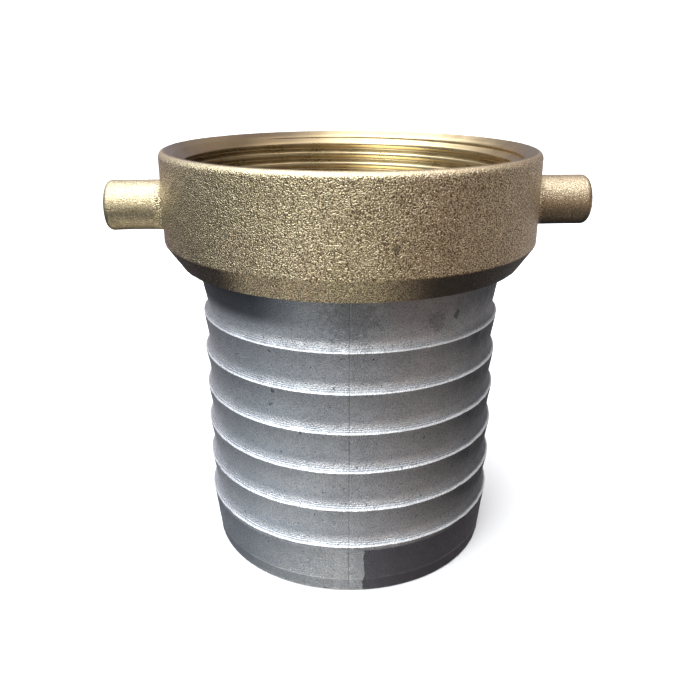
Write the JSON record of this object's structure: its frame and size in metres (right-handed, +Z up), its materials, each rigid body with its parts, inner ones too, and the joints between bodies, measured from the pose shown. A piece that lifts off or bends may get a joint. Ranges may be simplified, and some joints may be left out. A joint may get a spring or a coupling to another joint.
{
  "type": "hose shank with swivel nut",
  "caption": "Barbed aluminium hose shank with a brass pin-lug swivel nut, one half of a threaded suction hose coupling.",
  "frame": {"origin": "centre of the hose end's flat face, which the part stands on", "axes": "+Z up the bore, from the hose end to the nut's mouth; X along the two pin lugs"},
  "size_m": [0.1256, 0.097, 0.1059],
  "materials": {
    "aluminium": "as-cast, satin",
    "brass": "sand-cast outside, machined inside",
    "rubber": "plain"
  },
  "bodies": {
    "shank": {"hose_shank": "aluminium", "gasket": "rubber"},
    "nut": {"swivel_nut": "brass"}
  },
  "joints": [
    {"name": "nut_swivel", "type": "hinge", "parent": "shank", "child": "nut", "pos_m": [0, 0, 0.0916], "axis": [0, 0, 1], "continuous": true}
  ]
}
